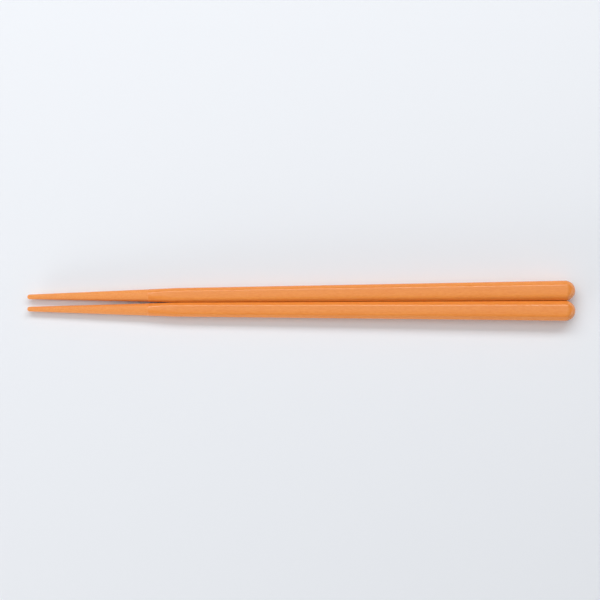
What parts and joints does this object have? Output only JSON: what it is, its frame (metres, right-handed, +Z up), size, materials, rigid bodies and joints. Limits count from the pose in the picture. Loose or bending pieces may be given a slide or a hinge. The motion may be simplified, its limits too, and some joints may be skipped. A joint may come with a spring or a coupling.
{
  "type": "pair of plastic chopsticks",
  "caption": "Moulded plastic chopsticks lying flank to flank: a bevelled square grip with a domed butt, tapering to a slender round tip with non-slip grain.",
  "frame": {"origin": "on the table, in the plane where the flanks touch, midway between the tip ends and the butt ends", "axes": "+X along the pair from the tips to the butts, +Y towards the back stick, +Z up"},
  "size_m": [0.225, 0.0164, 0.0082],
  "materials": {
    "orange_resin": "satin grip, matte grained tip"
  },
  "bodies": {
    "root": {"chopstick_back": "orange_resin", "chopstick_front": "orange_resin"}
  },
  "joints": []
}
